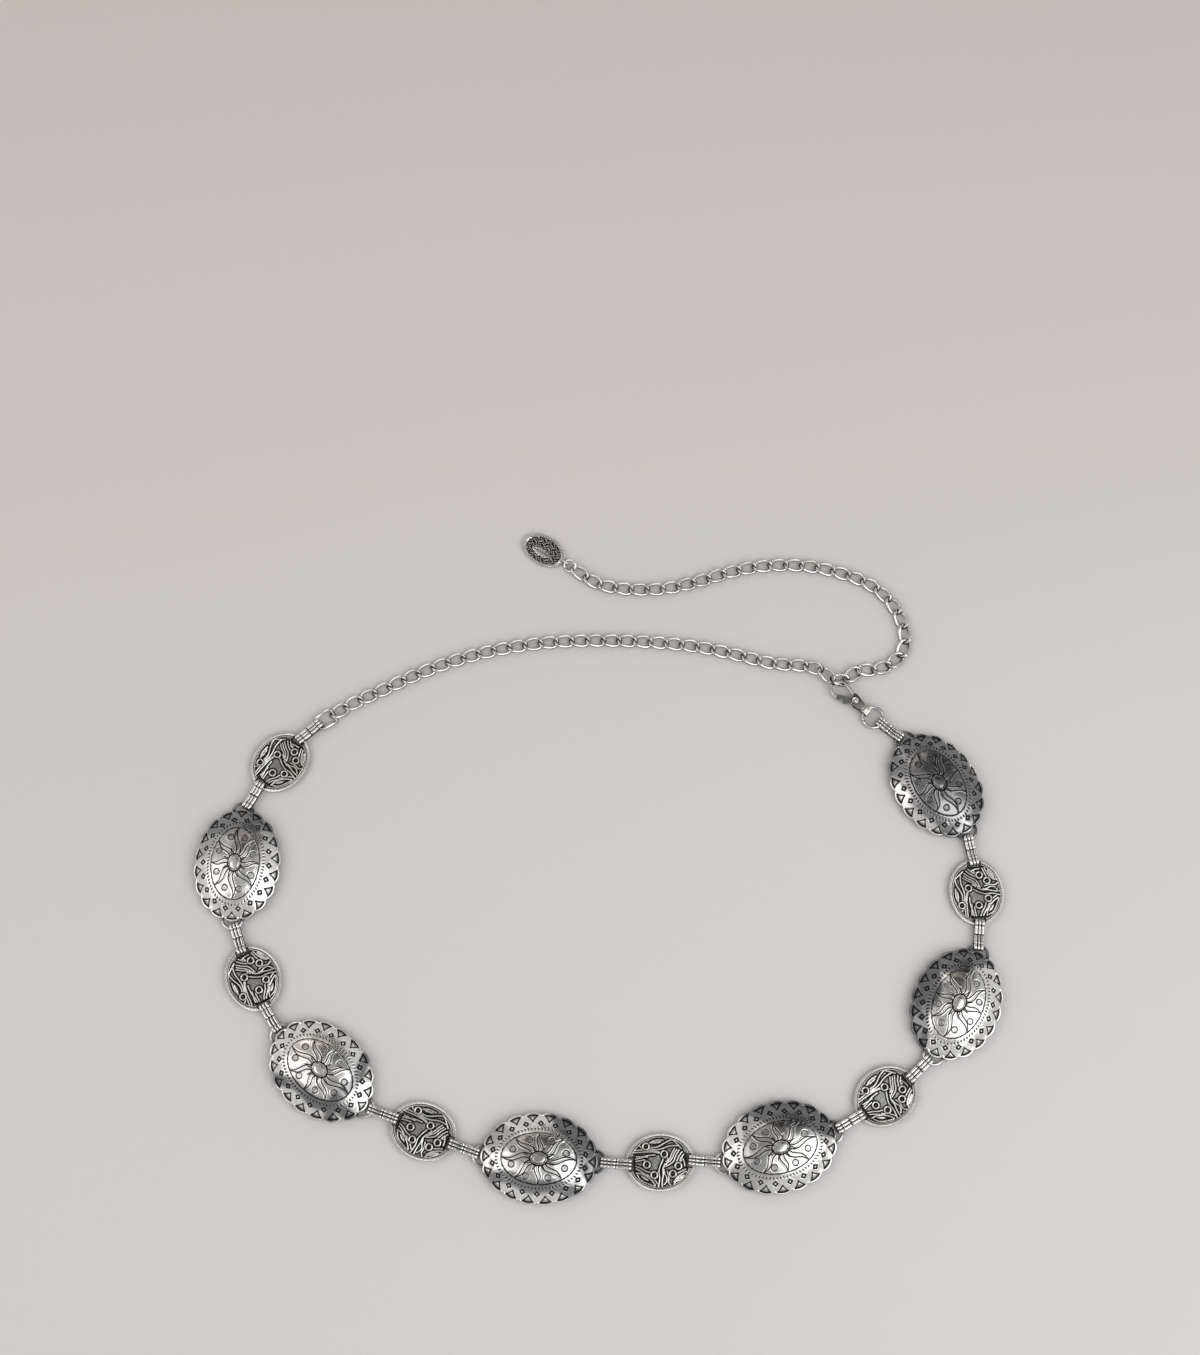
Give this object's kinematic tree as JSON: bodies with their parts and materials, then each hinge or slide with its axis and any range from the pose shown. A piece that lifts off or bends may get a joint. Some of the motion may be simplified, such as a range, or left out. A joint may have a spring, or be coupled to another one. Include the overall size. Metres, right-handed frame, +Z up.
{
  "type": "concho chain belt",
  "caption": "Silver chain belt of domed oval conchos and oval relief plates, joined by ribbed connectors, with a curb chain, a lever clasp and a tag on the chain's end.",
  "frame": {"origin": "middle of the object's footprint, on the surface that the belt lies on", "axes": "+Z up from the surface; X and Y lie in it, +X to the picture's right and +Y to the picture's top"},
  "size_m": [0.3216, 0.2704, 0.0099],
  "materials": {
    "polished_silver": "polished antique silver plate with dark engraving",
    "dark_silver": "antique silver plate with a blackened recess",
    "chain_silver": "antique silver plate",
    "clasp_silver": "bright silver plate"
  },
  "bodies": {
    "belt": {"concho_1": "polished_silver", "concho_2": "polished_silver", "concho_3": "polished_silver", "concho_4": "polished_silver", "concho_5": "polished_silver", "concho_6": "polished_silver", "plate_1": "dark_silver", "plate_2": "dark_silver", "plate_3": "dark_silver", "plate_4": "dark_silver", "plate_5": "dark_silver", "plate_6": "dark_silver", "connector_1": "polished_silver", "connector_2": "polished_silver", "connector_3": "polished_silver", "connector_4": "polished_silver", "connector_5": "polished_silver", "connector_6": "polished_silver", "connector_7": "polished_silver", "connector_8": "polished_silver", "connector_9": "polished_silver", "connector_10": "polished_silver", "connector_11": "polished_silver", "connector_12": "polished_silver", "connector_13": "polished_silver", "waist_chain": "chain_silver", "tail_chain": "chain_silver", "clasp_body": "clasp_silver", "clasp_ring": "clasp_silver", "tag_ring": "clasp_silver", "tag": "dark_silver"},
    "lever": {"clasp_lever": "clasp_silver"}
  },
  "joints": [
    {"name": "lever_pivot", "type": "hinge", "parent": "belt", "child": "lever", "pos_m": [0.10434, 0.06263, 0.00235], "axis": [0, 0, -1], "range_deg": [0, 25], "stiffness_Nm_per_rad": 0.01, "springref_deg": -28.65}
  ]
}
